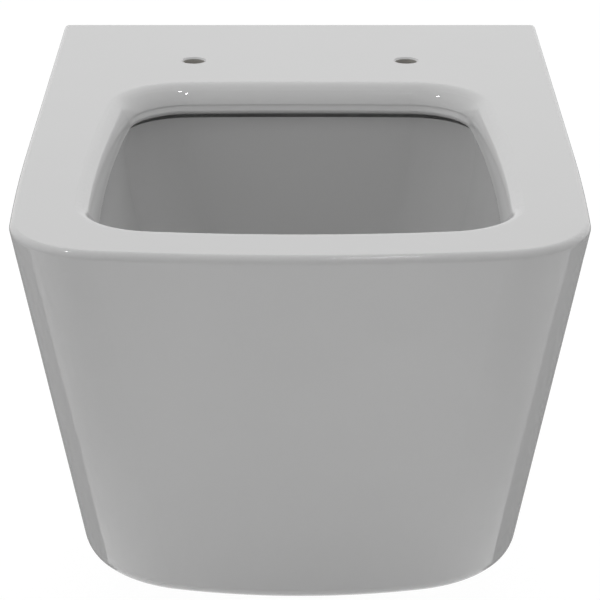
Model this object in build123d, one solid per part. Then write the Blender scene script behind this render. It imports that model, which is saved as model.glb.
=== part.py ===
from build123d import *
import os
from math import atan2, cos, radians, sin, tan

# Wall hung rimless pan with square shoulders, its concealed side fixings and its two pipe connectors.
# Millimetres, +Z up. The wall is the plane y = 0 and the pan stands out from it towards -Y.
# The origin lies on the wall, halfway between the two wall studs.

# Ceramic body outside
RIM_Z = 80.0
BODY_HEIGHT = 340.0
RIM_DEPTH = 540.0
RIM_HALF = 180.0
RIM_STRAIGHT = 334.0
RIM_SHOULDER_INSET = 5.3
RIM_FRONT_BOW = 16.6
RIM_CORNER_R = 62.0
FOOT_DEPTH = 301.0
FOOT_HALF = 155.0
FOOT_STRAIGHT = 130.0
FOOT_SHOULDER_INSET = 1.0
FOOT_FRONT_BOW = 36.0
FOOT_CORNER_R = 88.0
FOOT_EDGE_R = 28.0
RIM_EDGE_R = 3.5

# Ceramic walls
SHELL_WALL = 12.0
DECK_WALL = 12.0
BOWL_WALL = 10.0
TUBE_WALL = 9.0

# Deck left round the opening, and the opening's own shape
DECK_BACK_WIDTH = 159.7
DECK_FRONT_WIDTH = 40.0
DECK_SIDE_WIDTH_BACK = 52.2
DECK_SIDE_WIDTH_FRONT = 37.0
MOUTH_SIDE_BOW = 6.4
MOUTH_FRONT_BOW = 11.0
MOUTH_BACK_BOW = 2.5
MOUTH_CORNER_R = 50.0
ROLL_INSET = 13.3
ROLL_DROP = 13.0
ROLL_SLOPE_DEG = 58.0
SEAM_STEP = 0.5
LIP_DROP = 7.0
LIP_LEAN = 1.5
LIP_THICK = 6.2
LIP_EDGE_SHARE = 0.36

# Rinse slot under the lip
SLOT_SETBACK = 5.5
SLOT_OPEN = 3.6
GROOVE_DEPTH = 8.0
GROOVE_RISE = 6.0

# Bowl and trapway
SUMP_BACK_Y = -205.0
SUMP_FRONT_Y = -300.0
SUMP_HALF = 44.0
SUMP_CORNER_R = 40.0
SUMP_BOW = 2.0
SUMP_FROM_FOOT = 21.0
SUMP_EDGE_R = 16.0
BOWL_STEPS = 5
TRAP_R = 32.0
TRAP_BEND_R = 50.0
TRAP_FOOT_Y = -178.0
TRAP_CREST_Y = -100.0
TRAP_CREST_Z = -93.0

# Outlet spigot and its connector
OUTLET_Z = -100.0
OUTLET_BORE_R = 42.0
OUTLET_SPIGOT_R = 51.0
OUTLET_END_Y = -30.0
OUTLET_SPIGOT_LENGTH = 42.0
OUTLET_TAPER_LENGTH = 15.0
DRAIN_PIPE_R = 45.0
DRAIN_PIPE_WALL = 3.0
DRAIN_SOCKET_DEPTH = 38.0
DRAIN_SOCKET_WALL = 3.5
DRAIN_SHOULDER = 4.0
DRAIN_STOP_GAP = 2.0
DRAIN_SEAL_LENGTH = 26.0
DRAIN_SEAL_SETBACK = 4.0
DRAIN_SEAL_BAND = 2.0
DRAIN_LIP_HEIGHT = 3.2

# Water inlet, its seal and the flush pipe
INLET_Z = 35.0
INLET_BORE_R = 27.5
INLET_END_Y = -45.0
INLET_TUBE_LENGTH = 40.0
FLUSH_PIPE_R = 22.5
FLUSH_PIPE_WALL = 2.0
FLUSH_PIPE_INSERTION = 37.0
FLUSH_PIPE_BEVEL = 1.2
FLUSH_BEAD_HEIGHT = 1.5
FLUSH_BEAD_LENGTH = 4.0
INLET_SEAL_LENGTH = 26.0
INLET_SEAL_BAND = 1.8
INLET_SEAL_FLANGE = 4.0
INLET_SEAL_FLANGE_R = 33.0
SEAL_LIPS = 3
CHAMBER_HALF = 66.0
CHAMBER_HEIGHT = 6.0
CHAMBER_END_FLAT = 2.0
NOZZLE_REACH = 2.0
NOZZLE_ROUNDNESS = 0.45

# Seat hinge holes
HINGE_SPACING = 155.0
HINGE_FROM_WALL = 102.5
HINGE_HOLE_R = 8.0
HINGE_EDGE_R = 1.2

# Concealed side fixings, one set on each side
STUD_SPACING = 180.0
STUD_BORE_R = 6.1
WASHER_R = 15.5
WASHER_THICK = 3.0
SLEEVE_R = 12.0
SLEEVE_LENGTH = 82.0
STUD_ENGAGEMENT = 48.0
SLEEVE_BEVEL = 1.5
LINER_WALL = 4.3
LINER_END = 3.0
BLOCK_HALF = 26.0
BLOCK_DEPTH = 98.0
BLOCK_EDGE_R = 6.0
SCREW_FROM_WALL = 62.0
SCREW_R = 4.0
SCREW_LENGTH = 55.0
SCREW_TIP_LENGTH = 5.0
SCREW_TIP_R = 1.4
SCREW_KEY_ACROSS = 4.0
SCREW_KEY_DEPTH = 6.0
CROSS_SEAT_DEPTH = 6.0
CROSS_HOLE_GAP = 1.0
BUSH_FROM_BORE = 8.0
BUSH_R = 10.0
BUSH_LENGTH = 26.0
BUSH_BARBS = 3
BUSH_BARB_HEIGHT = 0.8
BUSH_BARB_LENGTH = 4.0
NUT_ACROSS = 13.0
NUT_LENGTH = 9.0
CAP_R = 12.5
CAP_FACE = 2.4
CAP_EDGE_R = 0.8
CAP_SKIRT_WALL = 1.6
CAP_SKIRT_LENGTH = 7.0

# Clearances, how far a cut runs past the face that it opens, and how close counts as touching
SEAT_GAP = 0.3
RUNNING_GAP = 0.05
OVERRUN = 1.0
TOUCH = 0.01

# Places that follow from the sizes
FOOT_Z = RIM_Z - BODY_HEIGHT
MOUTH_BACK_Y = -DECK_BACK_WIDTH
MOUTH_FRONT_Y = DECK_FRONT_WIDTH - RIM_DEPTH
MOUTH_BACK_HALF = RIM_HALF - DECK_SIDE_WIDTH_BACK
MOUTH_FRONT_HALF = RIM_HALF - RIM_SHOULDER_INSET - DECK_SIDE_WIDTH_FRONT
SEAM_Z = RIM_Z - ROLL_DROP
LIP_Z = SEAM_Z - LIP_DROP
SLOT_Z = LIP_Z - SLOT_OPEN
LIP_INSET = ROLL_INSET + LIP_LEAN
BOWL_INSET = LIP_INSET - SLOT_SETBACK
GROOVE_INSET = BOWL_INSET - GROOVE_DEPTH
GROOVE_Z = LIP_Z + GROOVE_RISE
SUMP_FLOOR_Z = FOOT_Z + SUMP_FROM_FOOT
FRONT_SLOPE = atan2(RIM_DEPTH - FOOT_DEPTH, BODY_HEIGHT)
RIM_SHARP_DEPTH = RIM_DEPTH + RIM_EDGE_R * ((1 + sin(FRONT_SLOPE)) / cos(FRONT_SLOPE) - 1)
BLOCK_BORE_R = SLEEVE_R + LINER_WALL + 2 * SEAT_GAP
SIDES = {"left": -1, "right": 1}


def bowed(start, end, bow):
    """Edge from start to end whose middle stands out by bow on its right hand side."""
    first = Vector(*start)
    last = Vector(*end)
    along = (last - first).normalized()
    middle = (first + last) * 0.5 + Vector(along.Y, -along.X, 0) * bow
    return ThreePointArc(first, middle, last)


def rounded(face, low_y_radius, high_y_radius=0.0):
    """Round the two corners nearest the front, and the two nearest the wall if asked."""
    corners = face.vertices().sort_by(Axis.Y)
    result = fillet(corners[:2], low_y_radius)
    if high_y_radius:
        result = fillet(result.vertices().sort_by(Axis.Y)[-2:], high_y_radius)
    return result


def at_height(z, rim_size, foot_size):
    """Size that runs evenly from its value at the rim to its value at the foot."""
    return rim_size + (foot_size - rim_size) * (RIM_Z - z) / BODY_HEIGHT


def side_wall_x(z):
    """Half width of the straight flank at a height."""
    return at_height(z, RIM_HALF, FOOT_HALF)


def body_plan(z, inset=0.0, front_inset=0.0, back_y=0.0):
    """Plan of the body at height z: flanks straight from the wall, then drawn in a little to a bowed front."""
    half = side_wall_x(z) - inset
    straight_y = -at_height(z, RIM_STRAIGHT, FOOT_STRAIGHT)
    front = half - at_height(z, RIM_SHOULDER_INSET, FOOT_SHOULDER_INSET)
    bow = at_height(z, RIM_FRONT_BOW, FOOT_FRONT_BOW)
    shoulder = bow + front_inset - at_height(z, RIM_SHARP_DEPTH, FOOT_DEPTH)
    edges = Curve() + [
        Line((half, back_y), (-half, back_y)),
        Line((-half, back_y), (-half, straight_y)),
        TangentArc((-half, straight_y), (-front, shoulder), tangent=(0, -1)),
        bowed((-front, shoulder), (front, shoulder), bow),
        TangentArc((half, straight_y), (front, shoulder), tangent=(0, -1)),
        Line((half, straight_y), (half, back_y)),
    ]
    return Pos(0, 0, z) * rounded(make_face(edges), at_height(z, RIM_CORNER_R, FOOT_CORNER_R) - inset)


def ring_plan(z, back_y, front_y, back_half, front_half, bows, radius):
    """Closed plan of four bowed sides at height z; bows are for the back, the sides and the front."""
    back_bow, side_bow, front_bow = bows
    back = back_y - back_bow
    front = front_y + front_bow
    edges = Curve() + [
        bowed((back_half, back), (-back_half, back), back_bow),
        bowed((-back_half, back), (-front_half, front), side_bow),
        bowed((-front_half, front), (front_half, front), front_bow),
        bowed((front_half, front), (back_half, back), side_bow),
    ]
    return Pos(0, 0, z) * rounded(make_face(edges), radius, radius)


def mouth_plan(z, inset):
    """Plan of the deck opening, drawn in by inset all round."""
    return ring_plan(
        z,
        MOUTH_BACK_Y - inset,
        MOUTH_FRONT_Y + inset,
        MOUTH_BACK_HALF - inset,
        MOUTH_FRONT_HALF - inset,
        (MOUTH_BACK_BOW, MOUTH_SIDE_BOW, MOUTH_FRONT_BOW),
        MOUTH_CORNER_R - inset / 2,
    )


def bowl_plan(share, floor_z, grow=0.0):
    """Plan of the bowl a share of the way down; it narrows to the sump by a smooth step."""
    ease = share * share * (3 - 2 * share)
    top_inset = BOWL_INSET - grow

    def between(mouth, sump):
        return mouth + (sump - mouth) * ease

    mouth_bows = (MOUTH_BACK_BOW, MOUTH_SIDE_BOW, MOUTH_FRONT_BOW)
    return ring_plan(
        SLOT_Z + (floor_z - SLOT_Z) * share,
        between(MOUTH_BACK_Y - top_inset, SUMP_BACK_Y + grow),
        between(MOUTH_FRONT_Y + top_inset, SUMP_FRONT_Y - grow),
        between(MOUTH_BACK_HALF - top_inset, SUMP_HALF + grow),
        between(MOUTH_FRONT_HALF - top_inset, SUMP_HALF + grow),
        [between(bow, SUMP_BOW) for bow in mouth_bows],
        between(MOUTH_CORNER_R - top_inset / 2, SUMP_CORNER_R + grow),
    )


def bowl_solid(floor_z, grow=0.0):
    """The bowl as a smooth loft, with its floor edge rounded."""
    plans = [bowl_plan(step / BOWL_STEPS, floor_z, grow) for step in range(BOWL_STEPS + 1)]
    bowl = loft(plans)
    return fillet(bowl.edges().group_by(Axis.Z)[0], SUMP_EDGE_R)


def body_solid():
    """The outside of the ceramic, still full, with its foot and rim edges rounded."""
    body = loft([body_plan(RIM_Z), body_plan(FOOT_Z)], ruled=True)
    foot_edges = body.edges().group_by(Axis.Z)[0].sort_by(Axis.Y)[:-1]
    body = fillet(foot_edges, FOOT_EDGE_R)
    rim_edges = body.edges().group_by(Axis.Z)[-1].sort_by(Axis.Y)[:-1]
    return fillet(rim_edges, RIM_EDGE_R)


def rolled_mouth(body):
    """Sink the opening into the deck: rounded edge, sloping band, fine seam and leaning lip face."""
    band_run = ROLL_DROP / tan(radians(ROLL_SLOPE_DEG))
    edge_inset = ROLL_INSET - band_run
    roll_radius = edge_inset / tan(radians(ROLL_SLOPE_DEG / 2))
    band = loft([mouth_plan(RIM_Z, edge_inset), mouth_plan(SEAM_Z, ROLL_INSET)], ruled=True)
    body = body - band
    deck = body.faces().sort_by(Axis.Z)[-1]
    body = fillet(deck.inner_wires()[0].edges(), roll_radius)
    lip_face = loft([mouth_plan(SEAM_Z, ROLL_INSET - SEAM_STEP), mouth_plan(LIP_Z, LIP_INSET)], ruled=True)
    return body - lip_face


def prism(plan, height):
    """Upright prism on a plan."""
    return extrude(plan, amount=height, dir=(0, 0, 1))


def rinse_groove():
    """The groove behind the lip and the open slot below it."""
    below = prism(mouth_plan(SLOT_Z, GROOVE_INSET), LIP_Z - SLOT_Z)
    behind = prism(mouth_plan(LIP_Z, GROOVE_INSET), GROOVE_RISE)
    lip = prism(mouth_plan(LIP_Z, LIP_INSET - LIP_THICK), GROOVE_RISE)
    return below + (behind - lip)


def trap_path():
    """Centre line of the trapway: back from the sump, up over the weir and out to the wall."""
    start_z = SUMP_FLOOR_Z + TRAP_R
    points = [
        (0, (SUMP_BACK_Y + SUMP_FRONT_Y) / 2, start_z),
        (0, TRAP_FOOT_Y, start_z),
        (0, TRAP_CREST_Y, TRAP_CREST_Z),
        (0, OUTLET_END_Y - OUTLET_SPIGOT_LENGTH / 2, OUTLET_Z),
    ]
    return FilletPolyline(*points, radius=TRAP_BEND_R)


def trap_tube(radius):
    """Round tube of one radius along the trapway."""
    path = trap_path()
    start = Plane(path @ 0, x_dir=(1, 0, 0), z_dir=path % 0)
    return sweep(start * Circle(radius), path=path)


def along_y(radius, front_y, back_y, z, x=0.0):
    """Round bar along Y between two places in front of the wall."""
    return Pos(x, (front_y + back_y) / 2, z) * Rot(90, 0, 0) * Cylinder(radius, back_y - front_y)


def along_x(radius, inner_x, outer_x, side):
    """Round bar on the lock screw's axis, on one side, from inner_x out to outer_x."""
    middle = side * (inner_x + outer_x) / 2
    return Pos(middle, -SCREW_FROM_WALL, 0) * Rot(0, 90, 0) * Cylinder(radius, outer_x - inner_x)


def facing(y, z, towards):
    """Plane across Y at a height, with X to the right; towards is +1 for the wall and -1 for the front."""
    return Plane((0, y, z), x_dir=(1, 0, 0), z_dir=(0, towards, 0))


def outlet_solid(end_radius, start_radius, back_y):
    """Taper from the trapway's size to the spigot's, then the straight spigot back to back_y."""
    spigot_y = OUTLET_END_Y - OUTLET_SPIGOT_LENGTH
    small = facing(spigot_y - OUTLET_TAPER_LENGTH, OUTLET_Z, 1) * Circle(start_radius)
    large = facing(spigot_y, OUTLET_Z, 1) * Circle(end_radius)
    return loft([small, large]) + along_y(end_radius, spigot_y, back_y, OUTLET_Z)


def chamber_solid(grow=0.0):
    """Flush chamber: from the round inlet to a wide flat nozzle hidden behind the lip."""
    nozzle_y = MOUTH_BACK_Y - GROOVE_INSET - NOZZLE_REACH
    round_side = 2 * (INLET_BORE_R + grow)
    flat_height = CHAMBER_HEIGHT + 2 * grow
    front = facing(INLET_END_Y - INLET_TUBE_LENGTH, INLET_Z, -1)
    nozzle = facing(nozzle_y, GROOVE_Z - CHAMBER_HEIGHT / 2, -1)
    round_end = front * RectangleRounded(round_side, round_side, (round_side - CHAMBER_END_FLAT) / 2)
    flat_width = 2 * (CHAMBER_HALF + grow)
    flat_end = nozzle * RectangleRounded(flat_width, flat_height, flat_height * NOZZLE_ROUNDNESS)
    return loft([round_end, flat_end])


def cap_seat_x():
    """Distance from the middle to the shoulder that the side cap sits on."""
    return side_wall_x(0) - CAP_FACE


def bush_inner_x():
    """Distance from the middle to the shoulder that the screw bush is pushed against."""
    return STUD_SPACING / 2 + BLOCK_BORE_R + BUSH_FROM_BORE


def screw_tip_x():
    """Distance from the middle to the point of the lock screw, a seat gap clear of its seat."""
    return STUD_SPACING / 2 + SLEEVE_R - CROSS_SEAT_DEPTH + SEAT_GAP


def fixing_block(side):
    """Ceramic block that joins the flank to the bore for the fixing sleeve."""
    inner = STUD_SPACING / 2 - BLOCK_HALF
    outer = side_wall_x(-BLOCK_HALF) - SHELL_WALL / 2
    place = Pos(side * (inner + outer) / 2, -BLOCK_DEPTH / 2, 0)
    block = place * Box(outer - inner, BLOCK_DEPTH, 2 * BLOCK_HALF)
    return fillet(block.edges().filter_by(Axis.Y), BLOCK_EDGE_R)


def fixing_bores(side):
    """Bore for the sleeve, and the stepped side hole for the bush, the lock screw and the cap."""
    stud_x = STUD_SPACING / 2
    outside_x = side_wall_x(BLOCK_HALF) + OVERRUN
    bores = along_y(BLOCK_BORE_R, -BLOCK_DEPTH - OVERRUN, OVERRUN, 0, side * stud_x)
    bores += along_x(SCREW_R + CROSS_HOLE_GAP, stud_x, bush_inner_x(), side)
    bores += along_x(BUSH_R + SEAT_GAP, bush_inner_x(), outside_x, side)
    bores += along_x(CAP_R + SEAT_GAP, cap_seat_x(), outside_x, side)
    return bores


def cavity_solid():
    """The hollow of the shell, open to the wall, before the inner walls are left standing in it."""
    front_inset = SHELL_WALL / cos(FRONT_SLOPE)
    top = body_plan(RIM_Z - DECK_WALL, SHELL_WALL, front_inset, OVERRUN)
    low = body_plan(FOOT_Z + SHELL_WALL, SHELL_WALL, front_inset, OVERRUN)
    hollow = loft([top, low], ruled=True)
    low_edges = hollow.edges().group_by(Axis.Z)[0].sort_by(Axis.Y)[:-1]
    return fillet(low_edges, FOOT_EDGE_R - SHELL_WALL)


def inner_walls():
    """Everything ceramic that stands inside the shell."""
    band_z = SLOT_Z - BOWL_WALL
    walls = prism(mouth_plan(band_z, GROOVE_INSET - TUBE_WALL), RIM_Z - DECK_WALL / 2 - band_z)
    walls += bowl_solid(SUMP_FLOOR_Z - BOWL_WALL, BOWL_WALL)
    walls += trap_tube(TRAP_R + TUBE_WALL)
    walls += outlet_solid(OUTLET_SPIGOT_R, TRAP_R + TUBE_WALL, OUTLET_END_Y)
    walls += along_y(INLET_BORE_R + TUBE_WALL, INLET_END_Y - INLET_TUBE_LENGTH, INLET_END_Y, INLET_Z)
    walls += chamber_solid(TUBE_WALL)
    for side in SIDES.values():
        walls += fixing_block(side)
    return walls


def waterways():
    """The trapway out of the sump, and the inlet with its flush chamber."""
    ways = trap_tube(TRAP_R) + outlet_solid(OUTLET_BORE_R, TRAP_R, OVERRUN)
    ways += along_y(INLET_BORE_R, INLET_END_Y - INLET_TUBE_LENGTH, OVERRUN, INLET_Z)
    return ways + chamber_solid()


def hinge_hole(side):
    """Tool for one seat hinge hole through the deck, flared where the glaze rounds its edge."""
    place = Pos(side * HINGE_SPACING / 2, -HINGE_FROM_WALL, RIM_Z)
    shaft = Pos(0, 0, -DECK_WALL / 2) * Cylinder(HINGE_HOLE_R, 2 * DECK_WALL)
    flare = Pos(0, 0, -HINGE_EDGE_R / 2) * Cone(HINGE_HOLE_R, HINGE_HOLE_R + HINGE_EDGE_R, HINGE_EDGE_R)
    return place * (shaft + flare)


def pan():
    """The whole ceramic, fired in one piece."""
    ceramic = rolled_mouth(body_solid())
    ceramic -= cavity_solid() - inner_walls()
    ceramic -= rinse_groove() + bowl_solid(SUMP_FLOOR_Z)
    lip_edges = ceramic.edges().filter_by_position(Axis.Z, LIP_Z - TOUCH, LIP_Z + TOUCH)
    ceramic = fillet(lip_edges, LIP_EDGE_SHARE * LIP_THICK)
    ceramic -= waterways()
    for side in SIDES.values():
        ceramic -= fixing_bores(side)
        ceramic -= hinge_hole(side)
    return ceramic


def turned(points, axis_place):
    """Solid of revolution: points are (radius, distance along the axis), placed on its axis."""
    profile = make_face(Polyline(*[(radius, 0, along) for radius, along in points], close=True))
    return axis_place * revolve(profile, Axis.Z)


def wall_axis(z, x=0.0):
    """Place whose own +Z runs from the wall out towards the front."""
    return Pos(x, 0, z) * Rot(90, 0, 0)


def side_axis(side):
    """Place on the lock screw's axis whose own +Z runs outwards from the middle of the pan."""
    return Pos(0, -SCREW_FROM_WALL, 0) * Rot(0, 90 * side, 0)


def lipped_ring(inner, outer, near, length, band, lips_inside):
    """Points of a seal ring: a plain band with pointed lips on its inside or its outside."""
    pitch = length / SEAL_LIPS
    if lips_inside:
        band_edge = outer - band
        tip = inner
        points = [(outer, near + length), (outer, near)]
    else:
        band_edge = inner + band
        tip = outer
        points = [(inner, near + length), (inner, near)]
    for lip in range(SEAL_LIPS):
        start = near + lip * pitch
        points += [(band_edge, start), (tip, start + pitch * 0.3), (tip, start + pitch * 0.45)]
        points += [(band_edge, start + pitch * 0.75)]
    points += [(band_edge, near + length)]
    return points


def stud_washer(side):
    """Plain washer that keeps the sleeve's foot off the wall."""
    points = [
        (STUD_BORE_R, 0),
        (WASHER_R, 0),
        (WASHER_R, WASHER_THICK),
        (STUD_BORE_R, WASHER_THICK),
    ]
    return turned(points, wall_axis(0, side * STUD_SPACING / 2))


def sleeve_liner(side):
    """Plastic cup that fills the space between the ceramic bore and the sleeve."""
    near = WASHER_THICK + SEAT_GAP
    end = WASHER_THICK + SLEEVE_LENGTH + SEAT_GAP
    inner = SLEEVE_R + SEAT_GAP
    outer = inner + LINER_WALL
    points = [
        (inner, near),
        (outer, near),
        (outer, end + LINER_END),
        (0, end + LINER_END),
        (0, end),
        (inner, end),
    ]
    cup = turned(points, wall_axis(0, side * STUD_SPACING / 2))
    return cup - along_x(SCREW_R + CROSS_HOLE_GAP, STUD_SPACING / 2, bush_inner_x(), side)


def fixing_sleeve(side):
    """Metal sleeve that screws on to the wall stud, cross drilled with a cone seat on both flanks."""
    near = WASHER_THICK
    end = WASHER_THICK + SLEEVE_LENGTH
    points = [
        (STUD_BORE_R, near),
        (SLEEVE_R, near),
        (SLEEVE_R, end - SLEEVE_BEVEL),
        (SLEEVE_R - SLEEVE_BEVEL, end),
        (0, end),
        (0, near + STUD_ENGAGEMENT),
        (STUD_BORE_R, near + STUD_ENGAGEMENT),
    ]
    sleeve = turned(points, wall_axis(0, side * STUD_SPACING / 2))
    tip_slope = (SCREW_R - SCREW_TIP_R) / SCREW_TIP_LENGTH
    floor_r = SCREW_TIP_R + SEAT_GAP
    mouth_r = floor_r + tip_slope * CROSS_SEAT_DEPTH
    seat = [(0, SLEEVE_R - CROSS_SEAT_DEPTH), (floor_r, SLEEVE_R - CROSS_SEAT_DEPTH), (mouth_r, SLEEVE_R)]
    seat += [(mouth_r, SLEEVE_R + OVERRUN), (0, SLEEVE_R + OVERRUN)]
    for flank in SIDES.values():
        place = Pos(side * STUD_SPACING / 2, 0, 0) * side_axis(flank)
        sleeve -= turned(seat, place)
    return sleeve


def lock_screw(side):
    """Grub screw with a cone point that draws the pan to the wall, keyed with a hexagon socket."""
    tip = screw_tip_x()
    end = tip + SCREW_LENGTH
    points = [
        (0, tip),
        (SCREW_TIP_R, tip),
        (SCREW_R, tip + SCREW_TIP_LENGTH),
        (SCREW_R, end - SCREW_R / 8),
        (SCREW_R * 7 / 8, end),
        (0, end),
    ]
    screw = turned(points, side_axis(side))
    key = RegularPolygon(SCREW_KEY_ACROSS / 2, 6, major_radius=False)
    key_floor = side_axis(side) * Pos(0, 0, end - SCREW_KEY_DEPTH)
    return screw - key_floor * extrude(key, amount=SCREW_KEY_DEPTH + OVERRUN)


def screw_bush(side):
    """Plastic bush pushed into the side hole, with barbs, and a hexagon pocket for the nut."""
    near = bush_inner_x()
    end = near + BUSH_LENGTH
    bore = SCREW_R + SEAT_GAP
    root = BUSH_R - BUSH_BARB_HEIGHT
    points = [(bore, near), (BUSH_R, near)]
    for barb in range(BUSH_BARBS):
        start = near + NUT_LENGTH / 2 + barb * 1.5 * BUSH_BARB_LENGTH
        points += [(BUSH_R, start), (root, start + BUSH_BARB_LENGTH), (BUSH_R, start + BUSH_BARB_LENGTH)]
    points += [(BUSH_R, end), (bore, end)]
    bush = turned(points, side_axis(side))
    pocket = RegularPolygon(NUT_ACROSS / 2 + SEAT_GAP, 6, major_radius=False)
    return bush - side_axis(side) * Pos(0, 0, near) * extrude(pocket, amount=NUT_LENGTH + SEAT_GAP)


def screw_nut(side):
    """Hexagon nut held in the bush, in which the lock screw runs; its corners are bevelled."""
    near = bush_inner_x()
    end = near + NUT_LENGTH
    flat = NUT_ACROSS / 2
    corner = flat / cos(radians(30))
    bevel = (corner - flat) * tan(radians(30))
    crown = [(0, near), (flat, near), (corner, near + bevel), (corner, end - bevel), (flat, end), (0, end)]
    hexagon = RegularPolygon(flat, 6, major_radius=False) - Circle(SCREW_R + RUNNING_GAP)
    blank = side_axis(side) * Pos(0, 0, near) * extrude(hexagon, amount=NUT_LENGTH)
    return blank & turned(crown, side_axis(side))


def side_cap(side):
    """Snap-in cover for the side hole: a low disc with a short skirt."""
    seat = cap_seat_x()
    skirt_r = BUSH_R
    points = [
        (0, seat),
        (skirt_r - CAP_SKIRT_WALL, seat),
        (skirt_r - CAP_SKIRT_WALL, seat - CAP_SKIRT_LENGTH),
        (skirt_r, seat - CAP_SKIRT_LENGTH),
        (skirt_r, seat),
        (CAP_R, seat),
        (CAP_R, seat + CAP_FACE - CAP_EDGE_R),
        (CAP_R - CAP_EDGE_R, seat + CAP_FACE),
        (0, seat + CAP_FACE),
    ]
    return turned(points, side_axis(side))


def drain_connector():
    """Drain pipe from the wall with a wide socket that slides over the spigot."""
    shoulder = -OUTLET_END_Y - DRAIN_STOP_GAP
    seal_outer = OUTLET_SPIGOT_R + 2 * SEAT_GAP + DRAIN_SEAL_BAND + DRAIN_LIP_HEIGHT
    socket_outer = seal_outer + DRAIN_SOCKET_WALL
    mouth = -OUTLET_END_Y + DRAIN_SOCKET_DEPTH
    points = [
        (DRAIN_PIPE_R - DRAIN_PIPE_WALL, 0),
        (DRAIN_PIPE_R, 0),
        (DRAIN_PIPE_R, shoulder - DRAIN_SHOULDER),
        (socket_outer, shoulder - DRAIN_SHOULDER / 2),
        (socket_outer, mouth),
        (seal_outer, mouth),
        (seal_outer, shoulder),
        (DRAIN_PIPE_R - DRAIN_PIPE_WALL, shoulder),
    ]
    return turned(points, wall_axis(OUTLET_Z))


def drain_seal():
    """Rubber lip seal between the socket and the spigot."""
    inner = OUTLET_SPIGOT_R + SEAT_GAP
    outer = inner + DRAIN_LIP_HEIGHT + DRAIN_SEAL_BAND
    near = -OUTLET_END_Y + DRAIN_SEAL_SETBACK
    points = lipped_ring(inner, outer, near, DRAIN_SEAL_LENGTH, DRAIN_SEAL_BAND, True)
    return turned(points, wall_axis(OUTLET_Z))


def flush_pipe():
    """Flush pipe from the wall into the inlet, with a bead that stops it at the seal's flange."""
    end = -INLET_END_Y + FLUSH_PIPE_INSERTION
    bead_end = -INLET_END_Y - INLET_SEAL_FLANGE - SEAT_GAP
    bead_start = bead_end - FLUSH_BEAD_LENGTH
    points = [
        (FLUSH_PIPE_R - FLUSH_PIPE_WALL, 0),
        (FLUSH_PIPE_R, 0),
        (FLUSH_PIPE_R, bead_start),
        (FLUSH_PIPE_R + FLUSH_BEAD_HEIGHT, bead_start + FLUSH_BEAD_HEIGHT),
        (FLUSH_PIPE_R + FLUSH_BEAD_HEIGHT, bead_end),
        (FLUSH_PIPE_R, bead_end),
        (FLUSH_PIPE_R, end - FLUSH_PIPE_BEVEL),
        (FLUSH_PIPE_R - FLUSH_PIPE_BEVEL, end),
        (FLUSH_PIPE_R - FLUSH_PIPE_WALL, end),
    ]
    return turned(points, wall_axis(INLET_Z))


def inlet_seal():
    """Rubber sleeve that seals the flush pipe in the inlet; its flange lies on the inlet's end."""
    face = -INLET_END_Y
    inner = FLUSH_PIPE_R + SEAT_GAP
    outer = INLET_BORE_R - SEAT_GAP
    sleeve = turned(
        lipped_ring(inner, outer, face, INLET_SEAL_LENGTH, INLET_SEAL_BAND, False),
        wall_axis(INLET_Z),
    )
    flange = [
        (inner, face),
        (inner, face - INLET_SEAL_FLANGE),
        (INLET_SEAL_FLANGE_R, face - INLET_SEAL_FLANGE),
        (INLET_SEAL_FLANGE_R, face),
    ]
    return sleeve + turned(flange, wall_axis(INLET_Z))


def all_parts():
    """Every node of the toilet by name."""
    parts = {
        "pan": pan(),
        "drain_connector": drain_connector(),
        "drain_seal": drain_seal(),
        "flush_pipe": flush_pipe(),
        "inlet_seal": inlet_seal(),
    }
    for name, side in SIDES.items():
        parts[f"stud_washer_{name}"] = stud_washer(side)
        parts[f"sleeve_liner_{name}"] = sleeve_liner(side)
        parts[f"fixing_sleeve_{name}"] = fixing_sleeve(side)
        parts[f"lock_screw_{name}"] = lock_screw(side)
        parts[f"screw_bush_{name}"] = screw_bush(side)
        parts[f"screw_nut_{name}"] = screw_nut(side)
        parts[f"side_cap_{name}"] = side_cap(side)
    return parts


if __name__ == "__main__":
    os.makedirs("parts", exist_ok=True)
    for node, solid in all_parts().items():
        export_step(solid, f"parts/{node}.step")
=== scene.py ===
"""Studio scene of a wall hung toilet pan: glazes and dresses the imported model, and lights it softly.

The row frame is kept: metres, +Z up, the wall is the plane y = 0 and the pan stands out towards -Y.
"""

import logging
import math
from dataclasses import dataclass
from enum import Enum

import bpy
import numpy as np
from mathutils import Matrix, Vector


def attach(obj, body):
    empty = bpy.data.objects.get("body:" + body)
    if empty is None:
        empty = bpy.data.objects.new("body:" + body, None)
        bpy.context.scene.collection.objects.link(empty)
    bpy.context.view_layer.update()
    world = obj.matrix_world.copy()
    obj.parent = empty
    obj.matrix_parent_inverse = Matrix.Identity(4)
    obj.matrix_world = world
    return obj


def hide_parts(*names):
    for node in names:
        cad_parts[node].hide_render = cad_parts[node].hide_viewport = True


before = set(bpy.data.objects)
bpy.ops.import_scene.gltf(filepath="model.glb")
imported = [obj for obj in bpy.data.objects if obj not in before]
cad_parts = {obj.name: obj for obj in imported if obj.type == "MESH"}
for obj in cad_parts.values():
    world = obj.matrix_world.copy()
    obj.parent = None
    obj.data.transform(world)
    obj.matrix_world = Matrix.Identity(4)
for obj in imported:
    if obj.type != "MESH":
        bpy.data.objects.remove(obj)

MM = 0.001
MERGE_GRAIN = 0.000001
SHARP_DEG = 35.0
NEVER_SHARP_DEG = 180.0
ROOT_BODY = "pan_assembly"

Socket = bpy.types.NodeSocket
Triple = tuple[float, float, float]
Corners = tuple[tuple[float, float], ...]

log = logging.getLogger("pan")


class Side(Enum):
    """The two mirrored sides of the pan, each with its sign along X."""

    LEFT = ("left", -1.0)
    RIGHT = ("right", 1.0)

    @property
    def label(self) -> str:
        """Word that ends the names of this side's nodes."""
        return self.value[0]

    @property
    def sign(self) -> float:
        """Sign of X on this side."""
        return self.value[1]


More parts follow.
